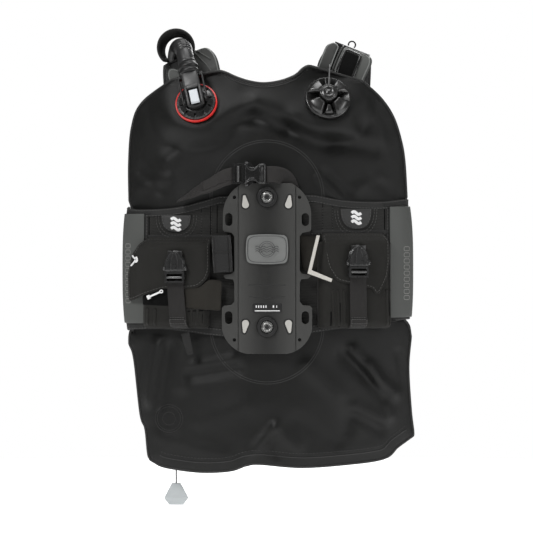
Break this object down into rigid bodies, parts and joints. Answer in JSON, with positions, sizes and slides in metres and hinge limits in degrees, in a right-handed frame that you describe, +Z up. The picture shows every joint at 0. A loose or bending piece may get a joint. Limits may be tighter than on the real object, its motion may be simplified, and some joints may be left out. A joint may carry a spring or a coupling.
{
  "type": "buoyancy compensator vest",
  "caption": "Diver's inflatable vest with a back plate for a tank, harness, cargo pockets, inflator hose and dump valves.",
  "frame": {"origin": "centre of the back plate's tank-side face, where the tank's wall touches the trough", "axes": "+Z up along the spine, -Y towards the tank, +Y towards the diver's chest, -X to the diver's left"},
  "size_m": [0.4115, 0.2746, 0.6721],
  "materials": {
    "cell": "coated satin weave",
    "panel": "ribbed weave",
    "pocket": "fine weave",
    "padding": "mesh over foam",
    "webbing": "woven tape",
    "elastomer": "smooth matt",
    "plate": "moulded satin",
    "badge": "satin",
    "insert": "satin",
    "steel": "polished",
    "brass": "plain",
    "rubber": "matt",
    "clip": "moulded",
    "valve": "moulded",
    "red": "moulded",
    "pale": "moulded",
    "cord": "braided",
    "ivory": "plain"
  },
  "bodies": {
    "vest": {"air_cell": "cell", "waist_panel_left": "panel", "waist_panel_right": "panel", "cummerbund_left": "panel", "cummerbund_right": "panel", "cargo_pocket_left": "pocket", "cargo_pocket_right": "pocket", "pocket_flaps": "pocket", "backpad": "padding", "shoulder_strap_left": "padding", "shoulder_strap_right": "padding", "upper_tank_strap": "webbing", "tank_band": "webbing", "pocket_strap_left": "webbing", "pocket_strap_right": "webbing", "shoulder_webbing": "webbing", "chest_strap": "webbing", "waist_belt": "webbing", "hose_retainer": "webbing", "side_bands": "elastomer", "back_plate": "plate", "plate_badge": "badge", "plate_inserts": "insert", "plate_screws": "steel", "screw_nuts": "steel", "dump_springs": "steel", "cell_grommets": "brass", "screw_washers": "rubber", "mouthpiece": "rubber", "inflator_hose": "rubber", "upper_buckle_female": "clip", "pocket_clips": "clip", "chest_buckle_female": "clip", "waist_buckle_female": "clip", "shoulder_adjusters": "clip", "inflator_valve": "valve", "valve_elbow": "valve", "shoulder_dump": "valve", "lower_dump": "valve", "power_inflator": "valve", "valve_ring": "red", "shoulder_dump_cord": "cord", "pull_strip": "ivory"},
    "upper_latch": {"upper_buckle_male": "clip"},
    "pocket_latch_left": {"pocket_prong_left": "clip"},
    "pocket_latch_right": {"pocket_prong_right": "clip"},
    "chest_latch": {"chest_buckle_male": "clip"},
    "waist_latch": {"waist_buckle_male": "clip"},
    "ring_left": {"d_ring_left": "steel"},
    "ring_right": {"d_ring_right": "steel"},
    "inflate_key": {"inflate_button": "pale"},
    "exhaust_key": {"exhaust_button": "valve"},
    "elbow_key": {"elbow_latch": "pale"},
    "chest_pull": {"chest_pull_cord": "cord", "shoulder_dump_knob": "pale"},
    "shoulder_seal": {"shoulder_poppet": "rubber"},
    "hem_pull": {"lower_dump_cord": "cord", "lower_dump_knob": "pale"},
    "hem_seal": {"lower_poppet": "rubber"},
    "zip_tag": {"zipper_pull": "ivory"}
  },
  "joints": [
    {"name": "upper_buckle_release", "type": "slide", "parent": "vest", "child": "upper_latch", "axis": [-1, 0, 0], "range_m": [0, 0.02], "deforming": ["upper_tank_strap"]},
    {"name": "pocket_release_left", "type": "slide", "parent": "vest", "child": "pocket_latch_left", "axis": [0, 0, -1], "range_m": [0, 0.02], "deforming": ["pocket_strap_left"]},
    {"name": "pocket_release_right", "type": "slide", "parent": "vest", "child": "pocket_latch_right", "axis": [0, 0, -1], "range_m": [0, 0.02], "deforming": ["pocket_strap_right"]},
    {"name": "chest_release", "type": "slide", "parent": "vest", "child": "chest_latch", "axis": [-1, 0, 0], "range_m": [0, 0.02], "deforming": ["chest_strap"]},
    {"name": "waist_release", "type": "slide", "parent": "vest", "child": "waist_latch", "axis": [-1, 0, 0], "range_m": [0, 0.02], "deforming": ["waist_belt"]},
    {"name": "ring_swing_left", "type": "hinge", "parent": "vest", "child": "ring_left", "pos_m": [-0.097, 0.2145, 0.17], "axis": [1, 0, 0], "range_deg": [-30, 150]},
    {"name": "ring_swing_right", "type": "hinge", "parent": "vest", "child": "ring_right", "pos_m": [0.097, 0.2145, 0.17], "axis": [1, 0, 0], "range_deg": [-30, 150]},
    {"name": "inflate_press", "type": "slide", "parent": "vest", "child": "inflate_key", "axis": [0, -1, 0], "range_m": [0, 0.003], "stiffness_N_per_m": 600, "springref_m": -0.002},
    {"name": "exhaust_press", "type": "slide", "parent": "vest", "child": "exhaust_key", "axis": [1, 0, 0], "range_m": [0, 0.003], "stiffness_N_per_m": 600, "springref_m": -0.002},
    {"name": "elbow_latch_press", "type": "slide", "parent": "vest", "child": "elbow_key", "axis": [0.1261, 0.8975, -0.4226], "range_m": [0, 0.0015], "stiffness_N_per_m": 600, "springref_m": -0.002},
    {"name": "shoulder_dump_pull", "type": "slide", "parent": "vest", "child": "chest_pull", "axis": [0, 0, -1], "range_m": [0, 0.012], "stiffness_N_per_m": 150, "springref_m": -0.006},
    {"name": "shoulder_poppet_lift", "type": "slide", "parent": "vest", "child": "shoulder_seal", "axis": [0.094, -0.8939, 0.4384], "range_m": [0, 0.004], "stiffness_N_per_m": 50, "deforming": ["dump_springs"]},
    {"name": "hem_dump_pull", "type": "slide", "parent": "vest", "child": "hem_pull", "axis": [0, 0, -1], "range_m": [0, 0.012], "stiffness_N_per_m": 150, "springref_m": -0.006},
    {"name": "hem_poppet_lift", "type": "slide", "parent": "vest", "child": "hem_seal", "axis": [0.3235, 0.9462, 0], "range_m": [0, 0.003], "stiffness_N_per_m": 50, "deforming": ["dump_springs"]},
    {"name": "zip_tag_swing", "type": "hinge", "parent": "vest", "child": "zip_tag", "pos_m": [-0.1475, 0.00949, -0.032], "axis": [-0.3703, 0.1241, 0.9206], "range_deg": [0, 80]}
  ],
  "couplings": [
    {"joint": "shoulder_poppet_lift", "follows": "shoulder_dump_pull", "ratio": 0.33333},
    {"joint": "hem_poppet_lift", "follows": "hem_dump_pull", "ratio": 0.25}
  ]
}
